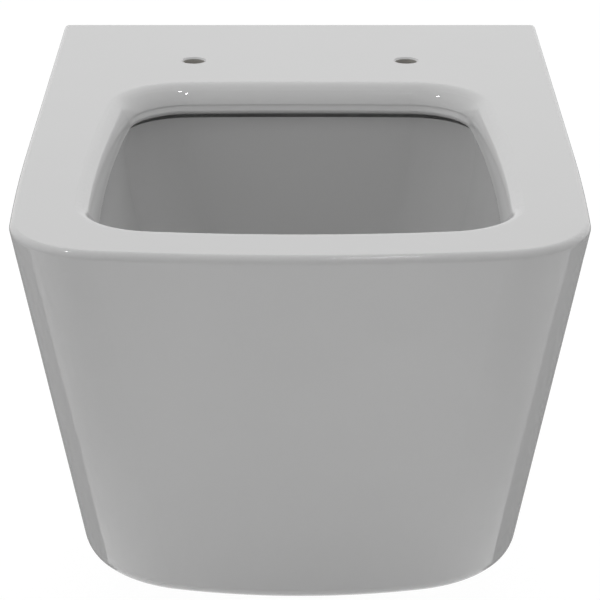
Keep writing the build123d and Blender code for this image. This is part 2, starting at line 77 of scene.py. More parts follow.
class Axis(Enum):
    """Axis that turned or drawn marks are strung along, with its place in a point."""

    ALONG_X = 0
    ALONG_Y = 1


# Meshes


def mesh_from_arrays(
    name: str, vertices: np.ndarray, faces: np.ndarray, sharp_deg: float = SHARP_DEG
) -> bpy.types.Object:
    """Make an object from whole arrays, smooth except at edges sharper than an angle.

    Args:
        name: Name of the object and of its mesh.
        vertices: Points in metres, one row each.
        faces: Corner numbers, one row for each face.
        sharp_deg: Angle in degrees past which an edge stays sharp.

    Returns:
        The new object, linked to the scene, with its place in its mesh.
    """
    mesh = bpy.data.meshes.new(name)
    corners = faces.shape[1]
    mesh.vertices.add(len(vertices))
    mesh.vertices.foreach_set("co", vertices.astype(np.float32).ravel())
    mesh.loops.add(faces.size)
    mesh.loops.foreach_set("vertex_index", faces.astype(np.int32).ravel())
    mesh.polygons.add(len(faces))
    mesh.polygons.foreach_set("loop_start", np.arange(0, faces.size, corners, dtype=np.int32))
    mesh.update(calc_edges=True)
    mesh.polygons.foreach_set("use_smooth", np.ones(len(faces), dtype=bool))
    mesh.set_sharp_from_angle(angle=math.radians(sharp_deg))
    piece = bpy.data.objects.new(name, mesh)
    bpy.context.scene.collection.objects.link(piece)
    return piece


def band_faces(rows: int, columns: int, closed: bool) -> np.ndarray:
    """Four-cornered faces between the rows of a grid.

    Args:
        rows: Number of rows of points.
        columns: Number of points in a row.
        closed: Whether each row is a ring.

    Returns:
        Corner numbers, one row for each face.
    """
    across = columns if closed else columns - 1
    row, column = np.meshgrid(np.arange(rows - 1), np.arange(across), indexing="ij")
    following = (column + 1) % columns
    corners = [row * columns + column, row * columns + following]
    corners += [(row + 1) * columns + following, (row + 1) * columns + column]
    return np.stack([corner.ravel() for corner in corners], axis=1)


def closed_rings(rows: np.ndarray) -> tuple[np.ndarray, np.ndarray]:
    """Close a stack of rings with a fan at each end.

    Args:
        rows: Rings of points in order, as an array of rings, points and coordinates.

    Returns:
        All points with the middle of the first and of the last ring added, and triangles between them.
    """
    count, columns, _ = rows.shape
    quads = band_faces(count, columns, closed=True)
    first, last = count * columns, count * columns + 1
    ring = np.arange(columns)
    following = (ring + 1) % columns
    start = np.stack([np.full(columns, first), following, ring], axis=1)
    end_ring = (count - 1) * columns
    end = np.stack([np.full(columns, last), end_ring + ring, end_ring + following], axis=1)
    faces = np.concatenate([quads[:, [0, 1, 2]], quads[:, [0, 2, 3]], start, end])
    middles = np.stack([rows[0].mean(axis=0), rows[-1].mean(axis=0)])
    return np.concatenate([rows.reshape(-1, 3), middles]), faces


def merged_triangles(
    mesh: bpy.types.Mesh, grain: float
) -> tuple[np.ndarray, np.ndarray, np.ndarray]:
    """Points, triangles and corner normals of a mesh whose points nearer than the grain are one.

    Args:
        mesh: A mesh of loose triangles.
        grain: Size in metres of the grid on which points are compared.

    Returns:
        Points, corner numbers of each triangle, and a normal for each corner.
    """
    points = np.empty(3 * len(mesh.vertices), dtype=np.float32)
    mesh.vertices.foreach_get("co", points)
    corners = np.empty(len(mesh.loops), dtype=np.int32)
    mesh.loops.foreach_get("vertex_index", corners)
    normals = np.empty(3 * len(mesh.loops), dtype=np.float32)
    mesh.corner_normals.foreach_get("vector", normals)
    points = points.reshape(-1, 3)
    cells = np.round(points / grain).astype(np.int64)
    _, kept, place = np.unique(cells, axis=0, return_index=True, return_inverse=True)
    faces = place.reshape(-1)[corners].reshape(-1, 3)
    whole = (faces[:, 0] != faces[:, 1]) & (faces[:, 1] != faces[:, 2]) & (faces[:, 2] != faces[:, 0])
    return points[kept], faces[whole], normals.reshape(-1, 3, 3)[whole]


def spread(faces: np.ndarray, start: np.ndarray, stop: np.ndarray) -> np.ndarray:
    """Spread a mark from face to touching face until only stopped faces are left beside it.

    Args:
        faces: Corner numbers of each face.
        start: Faces that are marked at first.
        stop: Faces that never take the mark.

    Returns:
        Which faces are marked in the end.
    """
    reached = np.zeros(faces.max() + 1, dtype=bool)
    reached[faces[start]] = True
    marked = start & ~stop
    grown = True
    while grown:
        more = reached[faces].any(axis=1) & ~stop
        grown = bool(more.sum() > marked.sum())
        marked = more
        reached[faces[marked]] = True
    return marked


def turned_points(radius: np.ndarray, along: np.ndarray, angle: np.ndarray) -> np.ndarray:
    """Points of a turned surface: (along, radius times cosine, radius times sine) of the angle.

    Args:
        radius: Distance from the axis.
        along: Distance along the axis.
        angle: Angle round the axis, in radians.

    Returns:
        Points with the axis as their first coordinate; the inputs are broadcast together.
    """
    radius, along, angle = np.broadcast_arrays(radius, along, angle)
    return np.stack([along, radius * np.cos(angle), radius * np.sin(angle)], axis=-1)


@dataclass(frozen=True)
class ThreadRidge:
    """A screw thread as one closed ridge that winds round an axis.

    The ridge's section is a four-cornered loop: base, crest, crest, base. Its middle moves along
    by one pitch for each turn, and its height fades to nothing over the first and last turn.
    """

    base_r: float
    crest_r: float
    pitch: float
    start: float
    length: float
    steps: int = 28
    base_share: float = 0.86
    crest_share: float = 0.16
    end_width: float = 0.2

    def points_and_faces(self) -> tuple[np.ndarray, np.ndarray]:
        """Work out the ridge.

        Returns:
            Points with the axis as their first coordinate, and the faces between them.
        """
        turns = self.length / self.pitch - 1.0
        count = int(round(turns * self.steps)) + 1
        turn = np.linspace(0.0, turns, count)
        fade = np.clip(np.minimum(turn, turns - turn), 0.0, 1.0)[:, None]
        shares = [-self.base_share, -self.crest_share, self.crest_share, self.base_share]
        across = np.array(shares) / 2
        lift = np.array([0.0, 1.0, 1.0, 0.0])
        middle = self.start + self.pitch * (turn[:, None] + 0.5)
        along = middle + self.pitch * across * (self.end_width + (1.0 - self.end_width) * fade)
        radius = self.base_r + (self.crest_r - self.base_r) * lift * fade
        points = turned_points(radius, along, 2 * np.pi * turn[:, None])
        last = 4 * count - 1
        ends = np.array([[0, 1, 2, 3], [last, last - 1, last - 2, last - 3]])
        faces = np.concatenate([band_faces(count, 4, closed=True), ends])
        return points.reshape(-1, 3), faces[:, ::-1] if self.crest_r < self.base_r else faces


# Finishes


@dataclass(frozen=True)
class Paint:
    """Node tree of one material, with short ways to add and join its nodes."""

    tree: bpy.types.NodeTree

    def add(self, kind: str, **settings: object) -> bpy.types.Node:
        """Add a node of a kind and set its plain properties."""
        node = self.tree.nodes.new(kind)
        for name, value in settings.items():
            setattr(node, name, value)
        return node

    def join(self, start: Socket, end: Socket) -> None:
        """Link one socket to another."""
        self.tree.links.new(start, end)

    def calculate(self, operation: str, *values: Socket | float) -> Socket:
        """Add a math node.

        Args:
            operation: What the node works out.
            values: Its inputs in order, each a socket to join or a number to set.

        Returns:
            The node's result.
        """
        node = self.add("ShaderNodeMath", operation=operation)
        for value, socket in zip(values, node.inputs):
            if isinstance(value, Socket):
                self.join(value, socket)
            else:
                socket.default_value = value
        return node.outputs[0]

    def effect(
        self, group: bpy.types.NodeTree, place: Socket, numbers: dict[str, float]
    ) -> bpy.types.Node:
        """Add a shared effect.

        Args:
            group: The effect's node group.
            place: Place on the surface that it works from.
            numbers: Its number inputs by name.

        Returns:
            The group's node.
        """
        node = self.add("ShaderNodeGroup", node_tree=group)
        for name, number in numbers.items():
            node.inputs[name].default_value = number
        self.join(place, node.inputs["Place"])
        return node

    def blend(self, share: Socket, first: Socket, second: Socket) -> Socket:
        """Mix two shaders, the second one by its share."""
        mix = self.add("ShaderNodeMixShader")
        for start, end in zip((share, first, second), mix.inputs):
            self.join(start, end)
        return mix.outputs[0]


def blank_material(name: str) -> tuple[bpy.types.Material, Paint]:
    """Make a material with its default nodes.

    Args:
        name: Name of the material.

    Returns:
        The material and the paint for its nodes.
    """
    material = bpy.data.materials.new(name)
    material.use_nodes = True
    return material, Paint(material.node_tree)


class EffectGroups:
    """Shader node groups that several finishes share, each built once when it is first asked for."""

    def __init__(self) -> None:
        """Start with no group built."""
        self._built: dict[str, bpy.types.NodeTree] = {}

    def _begin(
        self, name: str, numbers: dict[str, float], outputs: tuple[str, ...]
    ) -> tuple[Paint, bpy.types.NodeOutputs, bpy.types.NodeInputs]:
        """Open a new group.

        Args:
            name: Name of the group.
            numbers: Its number inputs with their default values.
            outputs: Its outputs, which are numbers.

        Returns:
            The group's paint, its input sockets and its output sockets, by name.
        """
        tree = bpy.data.node_groups.new(name, "ShaderNodeTree")
        tree.interface.new_socket("Place", in_out="INPUT", socket_type="NodeSocketVector")
        for label, value in numbers.items():
            socket = tree.interface.new_socket(label, in_out="INPUT", socket_type="NodeSocketFloat")
            socket.default_value = value
        for label in outputs:
            tree.interface.new_socket(label, in_out="OUTPUT", socket_type="NodeSocketFloat")
        paint = Paint(tree)
        start = paint.add("NodeGroupInput")
        end = paint.add("NodeGroupOutput")
        self._built[name] = tree
        return paint, start.outputs, end.inputs

    def ripple(self) -> bpy.types.NodeTree:
        """Group whose height is a slow wave plus a fine one, as fired glaze or moulded skin has.

        Returns:
            The group: Place, Slow Scale, Fine Scale, Fine Share in; Height and Patch out.
        """
        if "surface_ripple" in self._built:
            return self._built["surface_ripple"]
        numbers = {"Slow Scale": 12.0, "Fine Scale": 140.0, "Fine Share": 0.25}
        paint, given, result = self._begin("surface_ripple", numbers, ("Height", "Patch"))
        wave = {}
        for scale, detail in (("Slow Scale", 1.0), ("Fine Scale", 2.0)):
            noise = paint.add("ShaderNodeTexNoise")
            noise.inputs["Detail"].default_value = detail
            paint.join(given["Place"], noise.inputs["Vector"])
            paint.join(given[scale], noise.inputs["Scale"])
            wave[scale] = noise.outputs["Fac"]
        fine = paint.calculate("MULTIPLY", wave["Fine Scale"], given["Fine Share"])
        paint.join(paint.calculate("ADD", wave["Slow Scale"], fine), result["Height"])
        paint.join(wave["Slow Scale"], result["Patch"])
        return paint.tree

    def specks(self) -> bpy.types.NodeTree:
        """Group that marks small round specks, such as pinholes in glaze or sand in clay.

        Each cell of a Voronoi pattern has one speck; only cells whose random colour passes a
        threshold keep theirs.

        Returns:
            The group: Place, Scale, Radius, Share in; Mask out, 1 in a speck.
        """
        if "round_specks" in self._built:
            return self._built["round_specks"]
        numbers = {"Scale": 60.0, "Radius": 0.08, "Share": 0.2}
        paint, given, result = self._begin("round_specks", numbers, ("Mask",))
        cells = paint.add("ShaderNodeTexVoronoi", feature="F1")
        paint.join(given["Place"], cells.inputs["Vector"])
        paint.join(given["Scale"], cells.inputs["Scale"])
        split = paint.add("ShaderNodeSeparateColor")
        paint.join(cells.outputs["Color"], split.inputs["Color"])
        inside = paint.calculate("LESS_THAN", cells.outputs["Distance"], given["Radius"])
        kept = paint.calculate("LESS_THAN", split.outputs["Red"], given["Share"])
        paint.join(paint.calculate("MULTIPLY", inside, kept), result["Mask"])
        return paint.tree

    def tool_marks(self, axis: Axis) -> bpy.types.NodeTree:
        """Group whose height is fine rings square to an axis, as a lathe or a die leaves.

        Args:
            axis: Direction that the rings are strung along.

        Returns:
            The group: Place, Ring Scale in; Height out.
        """
        name = f"tool_marks_{axis.name.lower()}"
        if name in self._built:
            return self._built[name]
        paint, given, result = self._begin(name, {"Ring Scale": 1800.0}, ("Height",))
        split = paint.add("ShaderNodeSeparateXYZ")
        paint.join(given["Place"], split.inputs[0])
        rings = paint.add("ShaderNodeTexNoise", noise_dimensions="1D")
        rings.inputs["Detail"].default_value = 2.0
        paint.join(split.outputs[axis.value], rings.inputs["W"])
        paint.join(given["Ring Scale"], rings.inputs["Scale"])
        paint.join(rings.outputs["Fac"], result["Height"])
        return paint.tree


EFFECTS = EffectGroups()


@dataclass(frozen=True)
class Finish:
    """What every finish has: a name, a colour range, a roughness range and a fine relief."""

    name: str
    colour: Triple
    patch_colour: Triple
    roughness: float
    patch_roughness: float
    relief: float
    slow_scale: float
    fine_scale: float
    fine_share: float
    metallic: float = 0.0
    ior: float = 1.5

    def build(self) -> bpy.types.Material:
        """Make the material once and return it again after that.

        Returns:
            The material, with its colour, roughness and relief varied over the surface.
        """
        ready = bpy.data.materials.get(self.name)
        if ready:
            return ready
        material, paint = blank_material(self.name)
        shader = paint.tree.nodes["Principled BSDF"]
        shader.inputs["Metallic"].default_value = self.metallic
        shader.inputs["IOR"].default_value = self.ior
        place = paint.add("ShaderNodeTexCoord").outputs["Object"]
        numbers = {
            "Slow Scale": self.slow_scale,
            "Fine Scale": self.fine_scale,
            "Fine Share": self.fine_share,
        }
        ripple = paint.effect(EFFECTS.ripple(), place, numbers)
        bump = paint.add("ShaderNodeBump")
        bump.inputs["Distance"].default_value = self.relief
        paint.join(self.height(paint, place, ripple.outputs["Height"]), bump.inputs["Height"])
        paint.join(bump.outputs["Normal"], shader.inputs["Normal"])
        mix = paint.add("ShaderNodeMix", data_type="RGBA")
        mix.inputs["A"].default_value = (*self.colour, 1.0)
        mix.inputs["B"].default_value = (*self.patch_colour, 1.0)
        paint.join(ripple.outputs["Patch"], mix.inputs["Factor"])
        paint.join(self.tint(paint, place, mix.outputs["Result"]), shader.inputs["Base Color"])
        rough = paint.add("ShaderNodeMapRange")
        rough.inputs["To Min"].default_value = self.roughness
        rough.inputs["To Max"].default_value = self.patch_roughness
        paint.join(ripple.outputs["Patch"], rough.inputs["Value"])
        paint.join(self.gloss(paint, place, rough.outputs["Result"]), shader.inputs["Roughness"])
        return material

    def height(self, paint: Paint, place: Socket, height: Socket) -> Socket:
        """Height of the relief; a finish that has more than the ripple adds it here."""
        return height

    def tint(self, paint: Paint, place: Socket, colour: Socket) -> Socket:
        """Colour of the surface; a finish that has more than the patches adds it here."""
        return colour

    def gloss(self, paint: Paint, place: Socket, rough: Socket) -> Socket:
        """Roughness of the surface; a finish that has more than the patches adds it here."""
        return rough


def dress_node(name: str, look: Finish) -> None:
    """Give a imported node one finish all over."""
    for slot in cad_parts[name].material_slots:
        slot.material = look.build()


def finish(piece: bpy.types.Object, look: Finish) -> None:
    """Give a piece one finish all over."""
    piece.data.materials.clear()
    piece.data.materials.append(look.build())


@dataclass(frozen=True)
class SpeckledFinish(Finish):
    """A finish with small round specks, which have their own colour and sit a little high or low."""

    speck_colour: Triple = (0.5, 0.5, 0.5)
    speck_scale: float = 60.0
    speck_radius: float = 0.05
    speck_share: float = 0.2
    speck_lift: float = -0.5

    def mask(self, paint: Paint, place: Socket) -> Socket:
        """1 in a speck and 0 beside it."""
        numbers = {"Scale": self.speck_scale, "Radius": self.speck_radius, "Share": self.speck_share}
        return paint.effect(EFFECTS.specks(), place, numbers).outputs["Mask"]

    def height(self, paint: Paint, place: Socket, height: Socket) -> Socket:
        """Ripple, with each speck raised or sunk."""
        return paint.calculate("MULTIPLY_ADD", self.mask(paint, place), self.speck_lift, height)

    def tint(self, paint: Paint, place: Socket, colour: Socket) -> Socket:
        """Patches, with the specks in their own colour."""
        mix = paint.add("ShaderNodeMix", data_type="RGBA")
        paint.join(self.mask(paint, place), mix.inputs["Factor"])
        paint.join(colour, mix.inputs["A"])
        mix.inputs["B"].default_value = (*self.speck_colour, 1.0)
        return mix.outputs["Result"]


@dataclass(frozen=True)
class TurnedFinish(Finish):
    """Metal with the fine rings that a lathe or a drawing die leaves round an axis."""

    axis: Axis = Axis.ALONG_X
    ring_scale: float = 1800.0
    ring_share: float = 0.8
    ring_roughness: float = 0.12

    def rings(self, paint: Paint, place: Socket) -> Socket:
        """Height of the rings."""
        marks = EFFECTS.tool_marks(self.axis)
        return paint.effect(marks, place, {"Ring Scale": self.ring_scale}).outputs["Height"]

    def height(self, paint: Paint, place: Socket, height: Socket) -> Socket:
        """Ripple plus the rings."""
        return paint.calculate("MULTIPLY_ADD", self.rings(paint, place), self.ring_share, height)

    def gloss(self, paint: Paint, place: Socket, rough: Socket) -> Socket:
        """Patches, rougher on one flank of the rings than on the other."""
        return paint.calculate("MULTIPLY_ADD", self.rings(paint, place), self.ring_roughness, rough)


GLAZE = SpeckledFinish(
    name="white_glaze",
    colour=(0.555, 0.555, 0.555),
    patch_colour=(0.54, 0.54, 0.54),
    roughness=0.04,
    patch_roughness=0.075,
    relief=0.00002,
    slow_scale=14.0,
    fine_scale=120.0,
    fine_share=0.10,
    ior=1.52,
    speck_colour=(0.50, 0.50, 0.495),
    speck_scale=45.0,
    speck_radius=0.012,
    speck_share=0.15,
    speck_lift=-0.6,
)
BARE_CLAY = SpeckledFinish(
    name="bare_fired_clay",
    colour=(0.46, 0.445, 0.42),
    patch_colour=(0.40, 0.385, 0.36),
    roughness=0.78,
    patch_roughness=0.92,
    relief=0.0003,
    slow_scale=30.0,
    fine_scale=900.0,
    fine_share=0.6,
    speck_colour=(0.36, 0.31, 0.26),
    speck_scale=420.0,
    speck_radius=0.16,
    speck_share=0.22,
    speck_lift=0.3,
)
DRAIN_PLASTIC = Finish(
    name="satin_polypropylene",
    colour=(0.60, 0.60, 0.585),
    patch_colour=(0.55, 0.55, 0.535),
    roughness=0.34,
    patch_roughness=0.50,
    relief=0.00006,
    slow_scale=22.0,
    fine_scale=700.0,
    fine_share=0.30,
    ior=1.49,
)
PIPE_PLASTIC = Finish(
    name="satin_polyethylene",
    colour=(0.57, 0.57, 0.56),
    patch_colour=(0.53, 0.53, 0.52),
    roughness=0.38,
    patch_roughness=0.55,
    relief=0.00008,
    slow_scale=35.0,
    fine_scale=420.0,
    fine_share=0.45,
    ior=1.51,
)
SEAL_RUBBER = SpeckledFinish(
    name="matt_seal_rubber",
    colour=(0.030, 0.030, 0.031),
    patch_colour=(0.048, 0.048, 0.048),
    roughness=0.58,
    patch_roughness=0.80,
    relief=0.00010,
    slow_scale=40.0,
    fine_scale=1400.0,
    fine_share=0.60,
    speck_colour=(0.10, 0.10, 0.098),
    speck_scale=260.0,
    speck_radius=0.10,
    speck_share=0.10,
    speck_lift=0.2,
)
FIXING_NYLON = Finish(
    name="grey_nylon",
    colour=(0.33, 0.34, 0.35),
    patch_colour=(0.28, 0.29, 0.30),
    roughness=0.36,
    patch_roughness=0.52,
    relief=0.00006,
    slow_scale=60.0,
    fine_scale=1500.0,
    fine_share=0.50,
    ior=1.53,
)
CAP_PLASTIC = Finish(
    name="gloss_cap_plastic",
    colour=(0.57, 0.57, 0.565),
    patch_colour=(0.55, 0.55, 0.545),
    roughness=0.12,
    patch_roughness=0.20,
    relief=0.00003,
    slow_scale=45.0,
    fine_scale=500.0,
    fine_share=0.15,
    ior=1.54,
)
SLEEVE_STEEL = TurnedFinish(
    name="zinc_plated_steel",
    colour=(0.66, 0.68, 0.71),
    patch_colour=(0.56, 0.58, 0.60),
    roughness=0.26,
    patch_roughness=0.44,
    relief=0.00004,
    slow_scale=120.0,
    fine_scale=1600.0,
    fine_share=0.40,
    metallic=1.0,
    axis=Axis.ALONG_Y,
)
SCREW_STEEL = TurnedFinish(
    name="stainless_steel",
    colour=(0.58, 0.575, 0.56),
    patch_colour=(0.52, 0.515, 0.50),
    roughness=0.22,
    patch_roughness=0.34,
    relief=0.00003,
    slow_scale=160.0,
    fine_scale=1800.0,
    fine_share=0.30,
    metallic=1.0,
    axis=Axis.ALONG_X,
)
NUT_BRASS = TurnedFinish(
    name="turned_brass",
    colour=(0.78, 0.60, 0.30),
    patch_colour=(0.66, 0.48, 0.22),
    roughness=0.24,
    patch_roughness=0.40,
    relief=0.00003,
    slow_scale=150.0,
    fine_scale=1500.0,
    fine_share=0.30,
    metallic=1.0,
    axis=Axis.ALONG_X,
)


# The object


@dataclass(frozen=True)
class CeramicPan:
    """The ceramic in one piece, glazed where it shows or carries water and bare clay elsewhere.

    The glaze is poured over the deck and runs over every face joined to it. It stops at the faces
    that are wiped or ground clean: the one against the wall, the ends of the inlet and the outlet,
    and the walls of the hinge holes and the side holes. Sizes are in millimetres.
    """

    deck_z: float = 80.0
    outlet_end_y: float = -30.0
    outlet_z: float = -100.0
    outlet_r: tuple[float, float] = (41.5, 51.5)
    inlet_end_y: float = -45.0
    inlet_z: float = 35.0
    inlet_r: tuple[float, float] = (27.0, 37.0)
    hinge_x: float = 77.5
    hinge_y: float = -102.5
    hinge_r: float = 8.1
    hinge_flare_z: float = 78.7
    screw_y: float = -62.0
    side_hole_r: float = 12.9
    side_hole_inner_x: float = 80.0
    touch: float = 0.2
    seam_z: float = 67.0
    seam_touch: float = 0.05
    mouth_half: float = 135.0
    mouth_y: tuple[float, float] = (-505.0, -155.0)
    tilt_range_deg: tuple[float, float] = (0.3, 59.0)
    seam_tilt_deg: float = 72.0
    roll_share: float = 0.85

    def wiped(self, middle: np.ndarray) -> np.ndarray:
        """Which faces are kept free of glaze.

        Args:
            middle: Middle of each face, in millimetres.

        Returns:
            True for the faces that stop the glaze.
        """
        x, y, z = middle.T
        outlet = np.hypot(x, z - self.outlet_z)
        inlet = np.hypot(x, z - self.inlet_z)
        wall = y > -self.touch
        outlet_end = abs(y - self.outlet_end_y) < self.touch
        outlet_end &= (outlet > self.outlet_r[0]) & (outlet < self.outlet_r[1])
        inlet_end = abs(y - self.inlet_end_y) < self.touch
        inlet_end &= (inlet > self.inlet_r[0]) & (inlet < self.inlet_r[1])
        hinge = np.hypot(abs(x) - self.hinge_x, y - self.hinge_y) < self.hinge_r
        hinge &= z < self.hinge_flare_z
        side_hole = np.hypot(y - self.screw_y, z) < self.side_hole_r
        side_hole &= abs(x) > self.side_hole_inner_x
        return wall | outlet_end | inlet_end | hinge | side_hole

    def rolled(self, corners: np.ndarray, normals: np.ndarray) -> np.ndarray:
        """Normals of the opening's edge, turned so that it shades as a roll from the deck to the seam.

        A normal keeps its direction seen from above. Its tilt from upright rises over the rounded
        edge and then stays the same down the band. It becomes the seam's tilt at the seam, and a
        share of itself above the seam.

        Args:
            corners: Place of each corner, in millimetres.
            normals: Normal of each corner.

        Returns:
            The normals, turned on the opening's edge alone.
        """
        x, y, z = corners.T
        tilt = np.arccos(np.clip(normals[:, 2], -1.0, 1.0))
        least, most = np.radians(self.tilt_range_deg)
        inside = (abs(x) < self.mouth_half) & (y > self.mouth_y[0]) & (y < self.mouth_y[1])
        inside &= (z > self.seam_z - self.seam_touch) & (tilt > least) & (tilt < most)
        at_seam = z < self.seam_z + self.touch
        wanted = np.where(at_seam, math.radians(self.seam_tilt_deg), tilt * self.roll_share)
        length = np.linalg.norm(normals[:, :2], axis=1)
        level = normals[:, :2] / np.where(length > 0.0, length, 1.0)[:, None]
        turned = np.concatenate([level * np.sin(wanted)[:, None], np.cos(wanted)[:, None]], axis=1)
        return np.where(inside[:, None], turned, normals)

    def build(self) -> None:
        """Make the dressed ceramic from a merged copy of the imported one."""
        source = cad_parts["pan"]
        points, faces, normals = merged_triangles(source.data, MERGE_GRAIN)
        middle = points[faces].mean(axis=1) / MM
        wiped = self.wiped(middle)
        deck = (middle[:, 2] > self.deck_z - self.touch) & ~wiped
        glazed = spread(faces, deck, wiped)
        piece = mesh_from_arrays("pan_ceramic", points, faces, NEVER_SHARP_DEG)
        corners = points[faces].reshape(-1, 3) / MM
        piece.data.normals_split_custom_set(self.rolled(corners, normals.reshape(-1, 3)))
        piece.data.materials.append(GLAZE.build())
        piece.data.materials.append(BARE_CLAY.build())
        piece.data.polygons.foreach_set("material_index", (~glazed).astype(np.int32))
        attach(piece, ROOT_BODY)
        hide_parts("pan")
        log.info("pan: %d triangles, %.0f%% of them glazed", len(faces), 100 * glazed.mean())


@dataclass(frozen=True)
class LockScrew:
    """Grub screw with a cone point, a rolled thread and a hexagon socket. Sizes are in millimetres."""

    side: Side
    tip_x: float = 96.3
    length: float = 55.0
    screw_y: float = -62.0
    crest_r: float = 4.0
    root_r: float = 3.39
    tip_r: float = 1.4
    cone_length: float = 5.0
    bevel: float = 0.6
    pitch: float = 1.25
    rows_per_pitch: int = 8
    columns: int = 48
    flank_slope: float = 2.6
    point_share: float = 0.5
    rim_bevel: float = 0.3
    key_across: float = 4.0
    key_depth: float = 6.0
    key_point_share: float = 0.4

    def thread_radius(self, along: np.ndarray, angle: np.ndarray) -> np.ndarray:
        """Radius of the threaded shank.

        The thread is a wave with straight flanks in (along / pitch - angle / full turn), a flat crest
        and a flat root; its height fades to the root towards the cone and the bevelled end.

        Args:
            along: Distance from the tip, in millimetres.
            angle: Angle round the axis, in radians.

        Returns:
            Distance of the surface from the axis, in millimetres.
        """
        phase = (along / self.pitch - angle / (2 * np.pi)) % 1.0
        wave = np.clip(0.5 + self.flank_slope * (np.abs(2 * phase - 1) - 0.5), 0.0, 1.0)
        from_cone = (along - self.cone_length) / self.pitch
        from_end = (self.length - self.bevel - along) / self.pitch
        fade = np.clip(np.minimum(from_cone, from_end), 0.0, 1.0)
        return self.root_r + (self.crest_r - self.root_r) * wave * fade

    def build(self) -> None:
        """Make the screw as one closed surface, from its tip over the thread into the socket."""
        angle = np.linspace(0, 2 * np.pi, self.columns, endpoint=False)
        threaded = self.length - self.cone_length - self.bevel
        rows = int(threaded / self.pitch * self.rows_per_pitch)
        along = np.linspace(self.cone_length, self.length - self.bevel, rows)[:, None]
        shank = turned_points(self.thread_radius(along, angle), along, angle)
        tip_r = np.array([[self.tip_r * self.point_share], [self.tip_r]])
        tip = turned_points(tip_r, np.zeros((2, 1)), angle)
        key = self.key_across / 2 / np.cos(angle % (np.pi / 3) - np.pi / 6)
        edge = turned_points(np.full((1, 1), self.root_r - self.rim_bevel), self.length, angle)
        mouth = turned_points(key[None, :], self.length, angle)
        floor_at = self.length - self.key_depth
        floor = turned_points(np.stack([key, key * self.key_point_share]), floor_at, angle)
        rings = np.concatenate([tip, shank, edge, mouth, floor])
        points, faces = closed_rings(rings)
        points[:, 0] += self.tip_x
        points[:, 1] += self.screw_y
        points[:, 0] *= self.side.sign
        if self.side is Side.RIGHT:
            faces = faces[:, ::-1]
        piece = mesh_from_arrays(f"lock_screw_thread_{self.side.label}", points * MM, faces)
        node = f"lock_screw_{self.side.label}"
        finish(piece, SCREW_STEEL)
        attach(piece, node)
        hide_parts(node)
        log.info("%s: %d triangles", node, len(faces))


@dataclass(frozen=True)
class FixingSet:
    """The fixing pieces of one side: washer, liner, sleeve with its stud thread, bush, nut and cap."""

    side: Side
    stud_x: float = 90.0
    thread: ThreadRidge = ThreadRidge(
        base_r=6.12, crest_r=5.35, pitch=1.75, start=4.0, length=45.0
    )

    def stud_thread(self) -> None:
        """Make the thread that the wall stud screws into, as a ridge in the sleeve's bore."""
        points, faces = self.thread.points_and_faces()
        along, across, up = points.T
        points = np.stack([self.side.sign * self.stud_x + across, -along, up], axis=1)
        piece = mesh_from_arrays(f"stud_thread_{self.side.label}", points * MM, faces)
        finish(piece, SLEEVE_STEEL)
        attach(piece, ROOT_BODY)

    def build(self) -> None:
        """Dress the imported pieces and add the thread."""
        looks = {
            "stud_washer": FIXING_NYLON,
            "sleeve_liner": FIXING_NYLON,
            "fixing_sleeve": SLEEVE_STEEL,
            "screw_bush": FIXING_NYLON,
            "screw_nut": NUT_BRASS,
            "side_cap": CAP_PLASTIC,
        }
        for piece, look in looks.items():
            dress_node(f"{piece}_{self.side.label}", look)
        self.stud_thread()
        LockScrew(self.side).build()
        log.info("fixings %s: dressed", self.side.label)


@dataclass(frozen=True)
class PipeWork:
    """The drain connector and the flush pipe with their rubber seals."""

    def build(self) -> None:
        """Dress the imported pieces."""
        looks = {
            "drain_connector": DRAIN_PLASTIC,
            "flush_pipe": PIPE_PLASTIC,
            "drain_seal": SEAL_RUBBER,
            "inlet_seal": SEAL_RUBBER,
        }
        for piece, look in looks.items():
            dress_node(piece, look)
        log.info("pipes and seals: dressed")


# The studio


@dataclass(frozen=True)
class Softbox:
    """A rectangular lamp that points at the pan, and shows in its gloss if it is asked to."""

    name: str
    place: Triple
    width: float
    height: float
    watts: float
    in_gloss: bool = False
    aim: Triple = (0.0, -0.3, 0.0)

    def build(self) -> None:
        """Hang the lamp."""
        data = bpy.data.lights.new(self.name, "AREA")
        data.shape = "RECTANGLE"
        data.size = self.width
        data.size_y = self.height
        data.energy = self.watts
        lamp = bpy.data.objects.new(self.name, data)
        lamp.location = self.place
        lamp.visible_glossy = self.in_gloss
        direction = Vector(self.aim) - Vector(self.place)
        lamp.rotation_euler = direction.to_track_quat("-Z", "Y").to_euler()
        bpy.context.scene.collection.objects.link(lamp)


@dataclass(frozen=True)
class StudioCamera:
    """The camera of the photograph: a long lens that looks down a little at the pan's front."""

    image_side_px: float = 600.0
    focal_px: float = 2842.3
    centre_down_px: float = 0.5
    sensor_mm: float = 36.0
    nearest: float = 0.1
    pitch_deg: float = 20.042
    place: Triple = (0.0, -2.1123, 0.6265)

    def build(self) -> None:
        """Set the camera up and make it the scene's."""
        data = bpy.data.cameras.new("studio_camera")
        data.sensor_width = self.sensor_mm
        data.lens = self.sensor_mm * self.focal_px / self.image_side_px
        data.shift_y = self.centre_down_px / self.image_side_px
        data.clip_start = self.nearest
        camera = bpy.data.objects.new("studio_camera", data)
        camera.location = self.place
        camera.rotation_euler = (math.radians(90.0 - self.pitch_deg), 0.0, 0.0)
        bpy.context.scene.collection.objects.link(camera)
        bpy.context.scene.camera = camera


